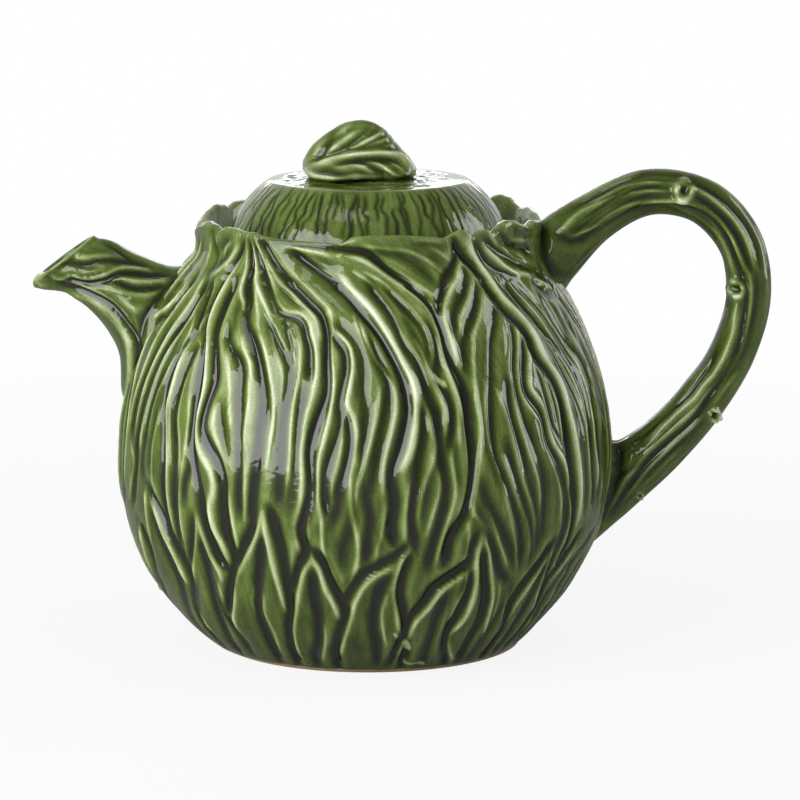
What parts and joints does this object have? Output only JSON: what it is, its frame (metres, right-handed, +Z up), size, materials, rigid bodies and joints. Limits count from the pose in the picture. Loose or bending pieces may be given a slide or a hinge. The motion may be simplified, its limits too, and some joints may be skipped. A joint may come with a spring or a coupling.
{
  "type": "lidded teapot",
  "caption": "Leaf-relief glazed teapot with a spout, a twig-shaped loop handle and a lift-off domed lid with a leaf knob.",
  "frame": {"origin": "centre of the foot ring, on the plane the pot stands on", "axes": "+Z up, the spout points along -X and the handle along +X, so +X is the pot's length"},
  "size_m": [0.2447, 0.168, 0.1755],
  "materials": {
    "body_glaze": "gloss",
    "spout_glaze": "gloss",
    "handle_glaze": "gloss",
    "lid_glaze": "gloss",
    "knob_glaze": "gloss"
  },
  "bodies": {
    "pot": {"pot_body": "body_glaze", "spout": "spout_glaze", "handle": "handle_glaze"},
    "lid": {"lid": "lid_glaze", "lid_knob": "knob_glaze"}
  },
  "joints": [
    {"name": "lid_lift", "type": "slide", "parent": "pot", "child": "lid", "axis": [0, 0, 1], "range_m": [0, 0.065]}
  ]
}
